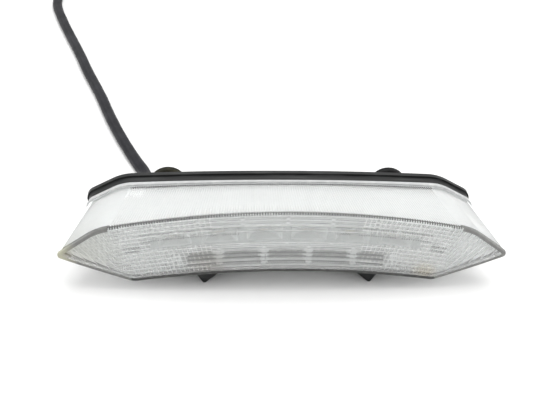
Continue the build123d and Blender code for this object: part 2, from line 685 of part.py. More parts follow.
plug_top_z = PLUG_Z + PLUG_HEIGHT / 2
with BuildPart() as connector_housing:
    with BuildSketch(Plane.YZ.offset(PLUG_X)):
        with Locations((PLUG_Y, PLUG_Z)):
            RectangleRounded(PLUG_WIDTH, PLUG_HEIGHT, PLUG_EDGE)
    extrude(amount=PLUG_LENGTH)
    for side in (-1, 1):
        ear_y = PLUG_Y + side * (LATCH_WIDTH / 2 + EAR_GAP + EAR_THICKNESS / 2)
        with BuildSketch(Plane.XZ.offset(-ear_y - EAR_THICKNESS / 2)):
            with Locations((LATCH_PIVOT_X, (plug_top_z + LATCH_PIVOT_Z) / 2)):
                Rectangle(2 * EAR_R, LATCH_PIVOT_Z - plug_top_z + PLUG_EDGE)
            with Locations((LATCH_PIVOT_X, LATCH_PIVOT_Z)):
                Circle(EAR_R)
        extrude(amount=EAR_THICKNESS)
    pin_hole = rod(LATCH_PIVOT_X, LATCH_PIVOT_Z, EAR_HOLE_R, PLUG_Y - PLUG_WIDTH, PLUG_Y + PLUG_WIDTH)
    add(pin_hole, mode=Mode.SUBTRACT)
    add(round_bars(CAVITY_R, 0, PLUG_X, plug_front_x).part, mode=Mode.SUBTRACT)
    add(round_bars(SEAL_BORE_R, 0, PLUG_X, PLUG_X + SEAL_BORE).part, mode=Mode.SUBTRACT)
    with BuildSketch(Plane.YZ.offset(plug_front_x - LOCK_DEPTH)):
        with Locations((PLUG_Y, PLUG_Z)):
            RectangleRounded(LOCK_WIDTH + 2 * SEAL_GAP, LOCK_HEIGHT + 2 * SEAL_GAP, PLUG_EDGE)
    extrude(amount=LOCK_DEPTH, mode=Mode.SUBTRACT)
finish(connector_housing, "connector_housing")

with BuildPart() as connector_latch:
    latch_back_y = PLUG_Y + LATCH_WIDTH / 2
    latch_front_y = PLUG_Y - LATCH_WIDTH / 2
    hook_z = LATCH_PIVOT_Z - LATCH_THICKNESS / 2 - LATCH_HOOK / 2
    hook_x = LATCH_PIVOT_X + LATCH_LENGTH / 2 - LATCH_THICKNESS / 2
    add(block(LATCH_PIVOT_X, LATCH_PIVOT_Z, LATCH_LENGTH, LATCH_THICKNESS, latch_front_y, latch_back_y))
    add(block(hook_x, hook_z, LATCH_THICKNESS, LATCH_HOOK, latch_front_y, latch_back_y))
    pin_reach = EAR_GAP + EAR_THICKNESS
    add(rod(LATCH_PIVOT_X, LATCH_PIVOT_Z, PIVOT_R, latch_front_y - pin_reach, latch_back_y + pin_reach))
finish(connector_latch, "connector_latch")
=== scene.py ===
import math

import bmesh
import bpy
import numpy as np
from mathutils import Matrix, Vector, noise


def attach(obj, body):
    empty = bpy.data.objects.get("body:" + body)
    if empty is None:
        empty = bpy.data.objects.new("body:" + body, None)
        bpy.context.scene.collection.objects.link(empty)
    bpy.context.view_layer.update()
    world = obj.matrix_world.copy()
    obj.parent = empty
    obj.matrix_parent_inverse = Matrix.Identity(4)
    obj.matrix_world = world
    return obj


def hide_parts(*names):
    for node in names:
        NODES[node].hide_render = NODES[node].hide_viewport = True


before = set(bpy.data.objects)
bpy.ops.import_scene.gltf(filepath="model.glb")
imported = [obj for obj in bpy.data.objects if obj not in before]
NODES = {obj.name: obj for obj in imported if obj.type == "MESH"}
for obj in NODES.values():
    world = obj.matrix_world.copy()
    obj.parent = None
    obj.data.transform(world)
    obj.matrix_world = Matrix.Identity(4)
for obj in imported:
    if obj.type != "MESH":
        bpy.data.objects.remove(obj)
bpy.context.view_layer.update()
MM = 0.001


# ---------------------------------------------------------------- node material helpers
class Paint:
    """Builds one procedural material: a Principled shader and the nodes that feed it."""

    def __init__(self, name, colour, roughness, **constants):
        self.material = bpy.data.materials.new(name)
        self.material.use_nodes = True
        self.tree = self.material.node_tree
        self.shader = self.tree.nodes["Principled BSDF"]
        self.shader.inputs["Base Color"].default_value = (*colour, 1)
        self.shader.inputs["Roughness"].default_value = roughness
        for socket, value in constants.items():
            self.shader.inputs[socket.replace("_", " ")].default_value = value
        self.place = self.node("ShaderNodeTexCoord").outputs["Object"]

    def node(self, kind, **properties):
        made = self.tree.nodes.new(kind)
        for name, value in properties.items():
            setattr(made, name, value)
        return made

    def join(self, source, target):
        self.tree.links.new(source, target)
        return target

    def stretched(self, scale):
        """Object coordinates scaled by a vector."""
        mapping = self.node("ShaderNodeMapping")
        mapping.inputs["Scale"].default_value = scale
        self.join(self.place, mapping.inputs["Vector"])
        return mapping.outputs["Vector"]

    def speckle(self, scale, detail=4.0, rough=0.55, stretch=(1, 1, 1)):
        """Noise in object space, 0 to 1."""
        made = self.node("ShaderNodeTexNoise")
        made.inputs["Scale"].default_value = scale
        made.inputs["Detail"].default_value = detail
        made.inputs["Roughness"].default_value = rough
        self.join(self.stretched(stretch), made.inputs["Vector"])
        return made.outputs["Fac"]

    def between(self, value, low, high, out_low=0.0, out_high=1.0):
        """A value mapped from one range to another, clamped."""
        made = self.node("ShaderNodeMapRange")
        ends = {"From Min": low, "From Max": high, "To Min": out_low, "To Max": out_high}
        for name, number in ends.items():
            made.inputs[name].default_value = number
        self.join(value, made.inputs["Value"])
        return made.outputs["Result"]

    def math(self, operation, first, second):
        made = self.node("ShaderNodeMath", operation=operation)
        for socket, value in zip(made.inputs, (first, second)):
            if isinstance(value, (int, float)):
                socket.default_value = value
            else:
                self.join(value, socket)
        return made.outputs["Value"]

    def product(self, first, *others):
        for other in others:
            first = self.math("MULTIPLY", first, other)
        return first

    def axis(self, letter):
        """One object coordinate, in metres."""
        made = self.node("ShaderNodeSeparateXYZ")
        self.join(self.place, made.inputs["Vector"])
        return made.outputs[letter]

    def ramp(self, value, edges, low=0, high=1):
        """The same as between, with its edges as a pair in millimetres."""
        return self.between(value, edges[0] * MM, edges[1] * MM, low, high)

    def band(self, value, centre, near, far):
        """1 where a value is near a centre in millimetres, fading to 0 at the far distance from it."""
        gap = self.math("ABSOLUTE", self.math("SUBTRACT", value, centre * MM), 0)
        return self.ramp(gap, (near, far), 1, 0)

    def spot(self, centre, radius, soft=0.5):
        """1 inside a ball about a point in millimetres, fading to 0 at its radius, edge ragged."""
        gap = self.node("ShaderNodeVectorMath", operation="DISTANCE")
        self.join(self.place, gap.inputs[0])
        gap.inputs[1].default_value = [v * MM for v in centre]
        ragged = self.product(self.speckle(320), radius * 0.5 * MM)
        reach = self.math("ADD", gap.outputs["Value"], ragged)
        return self.between(reach, radius * soft * MM, radius * 1.25 * MM, 1, 0)

    def tint(self, share, colour):
        """Mixes a colour over the base colour by a share."""
        mix = self.node("ShaderNodeMix", data_type="RGBA")
        base = self.shader.inputs["Base Color"]
        if base.is_linked:
            self.join(base.links[0].from_socket, mix.inputs["A"])
        else:
            mix.inputs["A"].default_value = base.default_value
        mix.inputs["B"].default_value = (*colour, 1)
        self.join(share, mix.inputs["Factor"])
        self.join(mix.outputs["Result"], base)

    def gloss(self, share, low, high):
        """Roughness between two values by a share."""
        self.join(self.between(share, 0, 1, low, high), self.shader.inputs["Roughness"])

    def grain(self, height, distance, strength=1.0):
        """Bump from a height."""
        bump = self.node("ShaderNodeBump")
        bump.inputs["Distance"].default_value = distance
        bump.inputs["Strength"].default_value = strength
        self.join(height, bump.inputs["Height"])
        self.join(bump.outputs["Normal"], self.shader.inputs["Normal"])


def put_on(material, *names):
    """Gives CAD nodes a material."""
    for name in names:
        mesh = NODES[name].data
        mesh.materials.clear()
        mesh.materials.append(material)


def plastic(name, colour, roughness, fleck, scale, bump=0.00003, **constants):
    """Moulded plastic: faint colour drift, uneven gloss and a fine moulded grain."""
    paint = Paint(name, colour, roughness, **constants)
    paint.tint(paint.between(paint.speckle(scale), 0.4, 0.75), fleck)
    paint.gloss(paint.speckle(scale * 2.5), roughness - 0.08, roughness + 0.12)
    paint.grain(paint.speckle(scale * 9, detail=2), bump, 0.5)
    return paint.material


# ---------------------------------------------------------------- outline of the light, in millimetres
FACE_Y, FACE_RADIUS, FACE_THICKNESS = -38.0, 1562.0, 2.6
WALL = 2.0
FLANGE_PROUD, FLANGE_DEPTH = 1.2, 2.0
CORNER_STEPS = 12
ARC_STEPS = 60


def unit(start, end):
    length = math.dist(start, end)
    return ((end[0] - start[0]) / length, (end[1] - start[1]) / length)


def inner_corner(corner, before, after, distance):
    """A corner moved inwards until both sides that meet there have moved by the distance."""
    first, second = (before[1], -before[0]), (after[1], -after[0])
    share = distance / (1 + first[0] * second[0] + first[1] * second[1])
    return tuple(corner[i] + share * (first[i] + second[i]) for i in range(2))


def arc_height(crown, end, x):
    """Height of the shallow arc from its crown at x = 0 to its end."""
    rise = crown - end[1]
    radius = (end[0] ** 2 + rise**2) / (2 * rise)
    return crown - radius + math.sqrt(radius**2 - x**2)


class Outline:
    """Right half of a cross section: crowned top, shoulder, pointed tip, heel and arched bottom."""

    def __init__(self, top, shoulder, tip, heel, bottom, radii):
        self.top, self.shoulder, self.tip, self.heel, self.bottom = top, shoulder, tip, heel, bottom
        self.radii = radii
        top_slope = 2 * math.atan((top - shoulder[1]) / shoulder[0])
        bottom_slope = 2 * math.atan((bottom - heel[1]) / heel[0])
        self.along_top = (math.cos(top_slope), -math.sin(top_slope))
        self.along_bottom = (-math.cos(bottom_slope), math.sin(bottom_slope))
        self.upper_side = unit(shoulder, tip)
        self.lower_side = unit(tip, heel)

    def inset(self, distance):
        shoulder = inner_corner(self.shoulder, self.along_top, self.upper_side, distance)
        tip = inner_corner(self.tip, self.upper_side, self.lower_side, distance)
        heel = inner_corner(self.heel, self.lower_side, self.along_bottom, distance)
        radii = tuple(max(1.0, radius - distance) for radius in self.radii)
        return Outline(self.top - distance, shoulder, tip, heel, self.bottom + distance, radii)

    def corner(self, place, coming, leaving, radius):
        """Points of a rounded corner between two directions."""
        turn = math.acos(coming[0] * leaving[0] + coming[1] * leaving[1])
        reach = radius * math.tan(turn / 2)
        start = [place[i] - reach * coming[i] for i in range(2)]
        end = [place[i] + reach * leaving[i] for i in range(2)]
        weight = math.cos(turn / 2)
        points = []
        for step in range(CORNER_STEPS + 1):
            t = step / CORNER_STEPS
            blend = ((1 - t) ** 2, 2 * weight * t * (1 - t), t**2)
            total = sum(blend)
            mixed = zip(start, place, end)
            points.append(tuple(sum(b * v for b, v in zip(blend, values)) / total for values in mixed))
        return points

    def curves(self):
        """Upper and lower edge as lists of points from the middle to the tip, and the marks that match
        on every section: where each corner starts and ends, and the tip."""
        shoulder = self.corner(self.shoulder, self.along_top, self.upper_side, self.radii[0])
        tip = self.corner(self.tip, self.upper_side, self.lower_side, self.radii[1])
        heel = self.corner(self.heel, self.lower_side, self.along_bottom, self.radii[2])
        top = [i / ARC_STEPS * shoulder[0][0] for i in range(ARC_STEPS)]
        bottom = [i / ARC_STEPS * heel[-1][0] for i in range(ARC_STEPS)]
        upper = [(x, arc_height(self.top, self.shoulder, x)) for x in top] + shoulder
        lower = [(x, arc_height(self.bottom, self.heel, x)) for x in bottom] + heel[::-1]
        far = max(range(len(tip)), key=lambda i: tip[i][0])
        upper += tip[: far + 1]
        lower += tip[far:][::-1]
        upper_marks = (0, shoulder[0][0], shoulder[-1][0], tip[0][0], tip[far][0])
        lower_marks = (0, heel[-1][0], heel[0][0], tip[-1][0], tip[far][0])
        return (upper, upper_marks), (lower, lower_marks)


FRONT = Outline(51.0, (105.2, 37.3), (129.7, 18.3), (84.2, 5.2), 13.2, (34.0, 2.2, 9.0))
REAR = Outline(49.1, (89.9, 47.0), (112.5, 34.8), (72.0, 13.0), 17.0, (24.0, 4.0, 9.0))

# The lens is meshed in columns across the light, four to a flute, with closer ones round the tip
FLUTE_PITCH = 1.44
COLUMNS_PER_FLUTE = 4
TIP_COLUMNS = 6
RIDGE_COLUMNS = TIP_COLUMNS + 3


def column_shares():
    """For each column of the right half, its place on the front edge as a mark number and a share."""
    marks = FRONT.curves()[0][1]
    step = FLUTE_PITCH / COLUMNS_PER_FLUTE
    flutes = math.floor(marks[1] / FLUTE_PITCH)
    shares = [i * step / (flutes * FLUTE_PITCH) for i in range(flutes * COLUMNS_PER_FLUTE)]
    for span in (1, 2):
        count = max(2, round((marks[span + 1] - marks[span]) / step))
        shares += [span + i / count for i in range(count)]
    shares += [3 + math.sin(math.pi / 2 * i / TIP_COLUMNS) for i in range(TIP_COLUMNS + 1)]
    return shares, flutes


SHARES, FLUTES = column_shares()
HALF = len(SHARES) - 1
COLUMNS = np.arange(-HALF, HALF + 1)


def matched(outline):
    """Points of the upper and the lower edge at every column."""
    edges = []
    for points, marks in outline.curves():
        xs, zs = np.array(points).T
        right = np.interp(SHARES, range(len(marks)), marks)
        heights = np.interp(right, xs, zs)
        across = np.concatenate((-right[:0:-1], right))
        edges.append(np.stack((across, np.concatenate((heights[:0:-1], heights)))))
    return edges


def face_depth(x):
    """Y of the curved face."""
    return FACE_Y + FACE_RADIUS - np.sqrt(FACE_RADIUS**2 - x**2)


EDGES = {}


def edge_pair(inset, depth=None, y=None):
    """Upper and lower edge of the form, moved in by the inset, at a depth behind the face or at a y."""
    if inset not in EDGES:
        EDGES[inset] = (matched(FRONT.inset(inset)), matched(REAR.inset(inset)))
    pair = []
    for front, rear in zip(*EDGES[inset]):
        place = front
        for _ in range(2):
            level = np.full(len(COLUMNS), float(y)) if depth is None else face_depth(place[0]) + depth
            place = front + (level - FACE_Y) / -FACE_Y * (rear - front)
        pair.append(np.stack((place[0], level, place[1]), axis=1))
    return pair


def ring(pair):
    """The two edges as one closed loop of points."""
    return np.concatenate((pair[0], pair[1][::-1]))


def quads(rows, columns, closed, offset=0):
    """Faces of a grid of points, closed round its columns or open."""
    faces = []
    for r in range(rows - 1):
        for c in range(columns if closed else columns - 1):
            d = (c + 1) % columns
            corners = (r * columns + c, r * columns + d, (r + 1) * columns + d, (r + 1) * columns + c)
            faces.append(tuple(offset + corner for corner in corners))
    return faces


def made_object(name, points, faces, material, crease=math.radians(32), weld=1e-6, extra=()):
    """An object from points in millimetres, welded, with outward normals and sharp creases. Extra holds
    more materials and the faces that have each."""
    mesh = bpy.data.meshes.new(name)
    mesh.from_pydata([tuple(p) for p in np.asarray(points) * MM], [], faces)
    if extra:
        slots = sum((i + 1) * mask for i, (_, mask) in enumerate(extra))
        mesh.polygons.foreach_set("material_index", slots.astype(np.int32))
    work = bmesh.new()
    work.from_mesh(mesh)
    bmesh.ops.remove_doubles(work, verts=work.verts, dist=weld)
    bmesh.ops.dissolve_degenerate(work, edges=work.edges, dist=weld)
    bmesh.ops.recalc_face_normals(work, faces=work.faces)
    work.to_mesh(mesh)
    work.free()
    mesh.shade_smooth()
    mesh.set_sharp_from_angle(angle=crease)
    mesh.materials.append(material)
    for other, _ in extra:
        mesh.materials.append(other)
    made = bpy.data.objects.new(name, mesh)
    bpy.context.scene.collection.objects.link(made)
    return made


def smooth_step(value, low, high):
    share = np.clip((value - low) / (high - low), 0, 1)
    return share * share * (3 - 2 * share)


def crown(phase):
    """A parabolic bump across one pitch, 0 at both ends and 1 in the middle."""
    part = phase - np.floor(phase)
    return 4 * part * (1 - part)


# ---------------------------------------------------------------- lens
EDGE_ROUND = 1.2
EDGE_STEPS = 5
RIM_WIDTH = 1.1
WALL_SHARES = (0.25, 0.5, 0.75, 0.965, 1.0)
FLANGE_FILLET, FLANGE_CHAMFER = 0.3, 0.25
FLANGE_LEVELS = 5
FRONT_ROWS = 8
FLUTE_DEPTH = 0.14
TOOTH_DEPTH = 0.5
# Shares of the way from the mouth to the face along the inner wall, and of the tooth depth there
TOOTH_STATIONS = ((0, 0.0), (0.035, 0.6), (0.075, 0.6), (0.12, 0.0), (0.3, 0.0), (0.5, 0.0), (0.7, 0.0))
TOOTH_STATIONS += ((0.9, 0.0), (0.965, 0.9), (1, 0.6))
LOWER_TEETH_FROM = 0.9

# Prisms inside the face: heights, bands as shares of the way down, and reaches from the middle
OPTIC_ROWS = 13
ROW_STEPS = 6
PILLOW_FLUTES = 2
RELIEF = 0.42
PILLOW_BLEND, TIP_BLEND = (40, 56), (92, 100)
SMOOTH_BAND, SMOOTH_REACH, SMOOTH_RELIEF = (0.30, 0.50), 74.0, 0.25
LOW_BAND, LOW_REACH, LOW_RELIEF = (0.64, 0.84), 62.0, 0.2
CELL_PITCH = 24.5
ROW_SPLIT = 0.55
JOINT_HALF_WIDTH, JOINT_REACH, JOINT_RELIEF = 0.9, 80.0, 0.6

# Rows of facets in the face that are painted dark as shade or bright as highlights, counted in steps
# from its upper edge
DASH_ROWS, DASH_REACH, DASH_GAP = (54, 60, 67), 54.0, 1.6
FINE_ROWS, FINE_REACH = (15, 16, 25, 26), (26.0, 80.0)
SIDE_ROWS, SIDE_REACH = (31, 32, 33, 37, 38, 39), (80.0, 98.0)
BRIGHT_ROWS = (14, 22, 40, 45, 50, 69, 74)
PILLOW_REACH = (41.0, 90.0)
FRINGE_ROWS = 3


def within(value, bounds):
    return (value > bounds[0]) & (value < bounds[1])


def optics(columns, down, x):
    """Height of the prism optics inside the face, by column, share of the way down and x."""
    flute = columns / COLUMNS_PER_FLUTE
    across = np.abs(x)
    rows = crown(down * OPTIC_ROWS)
    pillows = smooth_step(across, *PILLOW_BLEND)
    tip = smooth_step(across, *TIP_BLEND)
    height = rows * (1 - tip) + crown(flute / PILLOW_FLUTES) * np.maximum(pillows, tip)
    low = within(down, LOW_BAND) & (across < LOW_REACH)
    height = np.where(low, LOW_RELIEF * crown(flute), height)
    smooth = within(down, SMOOTH_BAND) & (across < SMOOTH_REACH)
    height = np.where(smooth, SMOOTH_RELIEF * rows, height)
    shift = np.where(down < ROW_SPLIT, 0.0, CELL_PITCH / 2)
    to_wall = np.abs((x - shift + CELL_PITCH / 2) % CELL_PITCH - CELL_PITCH / 2)
    joint = (to_wall < JOINT_HALF_WIDTH) & (across < JOINT_REACH)
    return RELIEF * np.where(joint, JOINT_RELIEF, height)


def teeth(columns):
    """Every other pair of columns, within the fluted stretch."""
    return (columns // 2 % 2 == 0) & (np.abs(columns) < FLUTES * COLUMNS_PER_FLUTE)


def wall_zones(heel, last_outer, last_ring):
    """Facets of the rings that aren't clear, by material: painted shade in dark teeth along the face's
    upper edge and behind the flange, and in a dark lower rim between the heels; a grey rim of painted
    shade elsewhere; the flange; and frosted inner walls, with the tip ridges frosted white as a painted
    highlight. A level is the strip between two rings, counted from the face."""
    both = np.concatenate((COLUMNS, COLUMNS[::-1]))
    upper = np.arange(len(both)) < len(COLUMNS)
    level = np.arange(last_ring)[:, None]
    flange_level = last_outer - FLANGE_LEVELS
    tooth = (teeth(both) & upper)[None, :]
    fluted = (upper & (np.abs(both) < FLUTES * COLUMNS_PER_FLUTE))[None, :]
    base = (~upper & (np.abs(both) < heel))[None, :]
    ridge = (np.abs(both) >= HALF - RIDGE_COLUMNS)[None, :]
    rounded = level < EDGE_STEPS
    dots = ((level == flange_level - 1) | (level == last_outer + 1)) & tooth
    # Painted shade: dark teeth, a dotted line behind the flange, the lower rim and the inner rim
    shade = dots | (rounded & (level > 0) & tooth) | (rounded & base)
    shade |= (level >= last_ring - 1) & (~fluted | tooth)
    # Painted shade: a grey rim round the tips and sides
    rim_shade = rounded & ~shade & (~fluted | (level > EDGE_STEPS // 2))
    flange = (level >= flange_level) & (level < last_outer) & ~dots
    frost_and_highlight = (level >= last_outer) & ~shade
    # Painted highlight: the tip ridges made frosted white
    frost_and_highlight |= ridge & (level >= EDGE_STEPS) & (level < flange_level)
    return shade, rim_shade, flange, frost_and_highlight, np.zeros_like(shade)


def face_zones(x):
    """Facets of the inner face that aren't clear, by material: dark dashes of painted shade across the
    lower cells, fine dotted rows of painted shade across and beside the upper cells, a grey fringe of
    painted shade at the lower edge, and bright creases between prisms as painted highlights. The facets
    are given by the x of their corners."""
    columns = COLUMNS[:-1]
    row = np.arange(len(x))[:, None]
    across = np.abs(x)
    tooth = teeth(columns)[None, :]
    to_joint = np.abs(x % CELL_PITCH - CELL_PITCH / 2)
    # Painted shade: the dark dashes and the fine dotted rows
    dash_row = np.isin(row, DASH_ROWS) | np.isin(row - 1, DASH_ROWS)
    dash_row = dash_row | (np.isin(row - 2, DASH_ROWS) & tooth)
    fine = np.isin(row, FINE_ROWS) & within(across, FINE_REACH) & (to_joint > DASH_GAP)
    fine |= np.isin(row, SIDE_ROWS) & within(across, SIDE_REACH)
    dashes = (dash_row & (across < DASH_REACH) & (to_joint > DASH_GAP)) | (fine & tooth)
    # Painted shade: a grey fringe along the lower edge
    fringe = (row >= len(x) - FRINGE_ROWS) & ~tooth
    # Painted highlight: bright creases between the prisms
    middle = np.isin(row, BRIGHT_ROWS) & (across < PILLOW_REACH[0])
    upright = (columns % (COLUMNS_PER_FLUTE * PILLOW_FLUTES) == 0)[None, :] & (across > PILLOW_REACH[0])
    level = (row % ROW_STEPS == 0) & within(across, PILLOW_REACH)
    smooth = within((row + 0.5) / len(x), SMOOTH_BAND) & (across < SMOOTH_REACH)
    crease = (middle | ((upright | level) & ~smooth)) & ~dashes & ~fringe
    none = np.zeros_like(dashes)
    return dashes, fringe, none, none, crease


def lens_rings():
    """The lens's rings: the outer ones from the face back and round the flange, and the inner ones from
    the mouth forward to the face, fluted and toothed."""
    outer = [edge_pair(EDGE_ROUND + RIM_WIDTH, depth=0.0)]
    for angle in np.linspace(math.pi / 2, 0, EDGE_STEPS):
        inset, depth = EDGE_ROUND * (1 - math.cos(angle)), EDGE_ROUND * (1 - math.sin(angle))
        outer.append(edge_pair(inset, depth=depth))
    back = edge_pair(0, y=-FLANGE_DEPTH - FLANGE_FILLET)
    outer += [[a + share * (b - a) for a, b in zip(outer[-1], back)] for share in WALL_SHARES]
    outer.append(edge_pair(-FLANGE_FILLET, y=-FLANGE_DEPTH))
    outer.append(edge_pair(FLANGE_CHAMFER - FLANGE_PROUD, y=-FLANGE_DEPTH))
    outer.append(edge_pair(-FLANGE_PROUD, y=FLANGE_CHAMFER - FLANGE_DEPTH))
    outer.append(edge_pair(-FLANGE_PROUD, y=0.0))
    mouth = edge_pair(WALL, y=0.0)
    floor = edge_pair(WALL, depth=FACE_THICKNESS)
    flute = crown(COLUMNS / COLUMNS_PER_FLUTE) * (np.abs(COLUMNS) <= FLUTES * COLUMNS_PER_FLUTE)
    inner = []
    for share, tooth in TOOTH_STATIONS:
        upper, lower = (a + share * (b - a) for a, b in zip(mouth, floor))
        upper[:, 2] -= flute * (FLUTE_DEPTH * (share > 0) + TOOTH_DEPTH * tooth)
        lower[:, 2] += flute * TOOTH_DEPTH * tooth * (share > LOWER_TEETH_FROM)
        inner.append((upper, lower))
    return outer, inner


def face_grid(pair, rows):
    """Points of a curved face between its two edges, and each row's share of the way down."""
    down = np.linspace(0, 1, rows + 1)[:, None]
    grid = pair[0] + down[:, :, None] * (pair[1] - pair[0])
    grid[:, :, 1] = face_depth(grid[:, :, 0])
    return grid, down


def build_lens(clear, *zone_materials):
    """The clear lens as one closed moulding, fluted in its top wall and with prisms in its face."""
    count = len(COLUMNS)
    outer, inner = lens_rings()
    rings = np.array([ring(pair) for pair in outer + inner])
    heel = np.searchsorted(outer[0][1][HALF:, 0], FRONT.heel[0])

    front, _ = face_grid(outer[0], FRONT_ROWS)
    optic_steps = OPTIC_ROWS * ROW_STEPS
    inside, down = face_grid(inner[-1], optic_steps)
    lift = optics(np.abs(COLUMNS)[None, :], down, inside[:, :, 0])
    lift[0] = lift[-1] = 0
    lift[:, 0] = lift[:, -1] = 0
    inside[:, :, 1] += FACE_THICKNESS - lift

    points = np.concatenate([part.reshape(-1, 3) for part in (rings, front, inside)])
    faces = quads(len(rings), 2 * count, True)
    faces += quads(FRONT_ROWS + 1, count, False, rings.size // 3)
    faces += quads(optic_steps + 1, count, False, (rings.size + front.size) // 3)
    # The extra materials paint shade and highlights into zones of the lens, besides the flange haze and
    # frost
    plain = [np.zeros(FRONT_ROWS * (count - 1), bool)] * len(zone_materials)
    zones = (wall_zones(heel, len(outer), len(rings) - 1), plain, face_zones(inside[:-1, :-1, 0]))
    masks = [np.concatenate([zone[k].ravel() for zone in zones]) for k in range(len(zone_materials))]
    lens = made_object("prism_lens", points, faces, clear, extra=list(zip(zone_materials, masks)))
    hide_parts("lens")
    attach(lens, "light")
    return lens


# ---------------------------------------------------------------- harness
ROUTE = [
    (-0.0840, 0.014, 0.0330),
    (-0.0840, 0.035, 0.0320),
    (-0.0830, 0.054, 0.0205),
    (-0.0806, 0.072, 0.0085),
    (-0.0784, 0.091, 0.0028),
    (-0.0866, 0.113, 0.0026),
    (-0.0964, 0.143, 0.0026),
    (-0.1063, 0.178, 0.0026),
    (-0.1153, 0.217, 0.0026),
    (-0.1268, 0.257, 0.0026),
    (-0.1365, 0.297, 0.0026),
    (-0.1470, 0.335, 0.0026),
    (-0.1575, 0.375, 0.0026),
    (-0.1660, 0.414, 0.0026),
    (-0.1630, 0.446, 0.0026),
    (-0.1440, 0.474, 0.0033),
    (-0.1130, 0.486, 0.0043),
    (-0.0850, 0.486, 0.0043),
]
SHEATH_WIDTH, SHEATH_THICKNESS = 8.0, 5.2
SHEATH_END_RADIUS = 3.5
RING_POINTS = 28
ROUND_START, FLATTENING = 12.0, 26.0
TWIST, TWIST_WAVE, TWIST_FADE = math.radians(20), 60.0, (90, 125)
WIRE_RIBS, RIB_HEIGHT = 6, 0.22
FOLD_HEIGHT, FOLD_ALONG, FOLD_ROUND, FOLD_SEED = 0.16, 0.09, 0.3, 1.7
SIDE_FULLNESS, TOP_FULLNESS = 0.85, 0.9
FLOOR_GAP = 0.02


def spline_points(name, control):
    """Points along the smooth curve through a route, in millimetres."""
    curve = bpy.data.curves.new(name, "CURVE")
    curve.dimensions = "3D"
    curve.resolution_u = 24
    spline = curve.splines.new("NURBS")
    spline.points.add(len(control) - 1)
    for point, place in zip(spline.points, control):
        point.co = (*place, 1)
    spline.order_u = 3
    spline.use_endpoint_u = True
    holder = bpy.data.objects.new(name, curve)
    mesh = bpy.data.meshes.new_from_object(holder)
    points = [v.co / MM for v in mesh.vertices]
    bpy.data.objects.remove(holder)
    bpy.data.meshes.remove(mesh)
    return points


def full(value, power):
    """A sine or cosine with its flanks made fuller."""
    return math.copysign(abs(value) ** power, value)


def sheath_section(travelled, total):
    """Offsets to the side and upwards round the sheath at a distance along it: round at its ends, else
    flattened, twisted a little near the light, and ribbed by the wires in it."""
    flat = smooth_step(np.float64(min(travelled - ROUND_START, total - travelled)), 0, FLATTENING)
    fade = 1 - smooth_step(travelled, *TWIST_FADE)
    twist = TWIST * math.sin(travelled / TWIST_WAVE) * flat * fade
    width = SHEATH_END_RADIUS + flat * (SHEATH_WIDTH / 2 - SHEATH_END_RADIUS)
    height = SHEATH_END_RADIUS + flat * (SHEATH_THICKNESS / 2 - SHEATH_END_RADIUS)
    section = []
    for k in range(RING_POINTS):
        angle = 2 * math.pi * k / RING_POINTS
        rib = RIB_HEIGHT * flat * math.cos(WIRE_RIBS * angle) * math.sqrt(abs(math.sin(angle)))
        wrinkle = Vector((travelled * FOLD_ALONG, k * FOLD_ROUND, FOLD_SEED))
        fold = FOLD_HEIGHT * noise.noise(wrinkle) * flat
        u = (width + fold) * full(math.cos(angle), SIDE_FULLNESS)
        v = (height + rib + fold) * full(math.sin(angle), TOP_FULLNESS)
        to_side = u * math.cos(twist) - v * math.sin(twist)
        upwards = u * math.sin(twist) + v * math.cos(twist)
        section.append((to_side, upwards))
    return section


def build_sheath(material):
    """The flat vinyl sheath over three wires, round where it enters the grommet and the sleeve."""
    path = spline_points("sheath_route", ROUTE)
    travelled = [0.0]
    for a, b in zip(path, path[1:]):
        travelled.append(travelled[-1] + (b - a).length)
    places = []
    for i, centre in enumerate(path):
        along = (path[min(i + 1, len(path) - 1)] - path[max(i - 1, 0)]).normalized()
        side = along.cross(Vector((0, 0, 1))).normalized()
        above = side.cross(along)
        for to_side, upwards in sheath_section(travelled[i], travelled[-1]):
            point = centre + side * to_side + above * upwards
            point.z = max(point.z, FLOOR_GAP)
            places.append(point)
    faces = quads(len(path), RING_POINTS, True)
    faces.append(tuple(range(RING_POINTS)))
    last = (len(path) - 1) * RING_POINTS
    faces.append(tuple(range(last, last + RING_POINTS))[::-1])
    sheath = made_object("flat_sheath", places, faces, material, crease=math.radians(50))
    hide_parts("harness_sheath")
    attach(sheath, "light")
    plug = ["sheath_sleeve", "connector_leads", "connector_seals", "connector_terminals"]
    plug += ["connector_lock", "connector_housing", "connector_latch"]
    return sheath


# ---------------------------------------------------------------- materials
OLIVE, AMBER, BROWN = (0.60, 0.56, 0.40), (0.80, 0.66, 0.38), (0.50, 0.42, 0.33)
LEFT_TIP = (-124, -33, 21)


def lens_plastic():
    """Clear polycarbonate, lightly hazed and scratched, with a few old stains."""
    paint = Paint("lens_clear", (0.968, 0.98, 0.975), 0.09, Transmission_Weight=0.88, IOR=1.5)
    paint.tint(paint.spot(LEFT_TIP, 9), OLIVE)
    paint.tint(paint.product(paint.spot((-112, -36, 20), 26, 0.2), 0.22), OLIVE)
    paint.tint(paint.product(paint.spot((78, -37, 10), 9, 0.3), 0.5), AMBER)
    paint.tint(paint.product(paint.spot((-43, -37, 17), 13, 0.3), 0.35), BROWN)
    scratches = paint.between(paint.speckle(60, detail=8, rough=0.7, stretch=(1, 6, 3)), 0.62, 0.72)
    paint.gloss(scratches, 0.07, 0.28)
    return paint.material


def lens_zone_plastic(name, colour, fleck, roughness, transmission):
    """The lens plastic where it scatters light or leads it away, mostly as painted shade or painted
    highlight, with a fleck of another colour.
    """
    paint = Paint(name, colour, roughness, Transmission_Weight=transmission, IOR=1.5)
    paint.tint(paint.between(paint.speckle(350), 0.45, 0.72), fleck)
    return paint


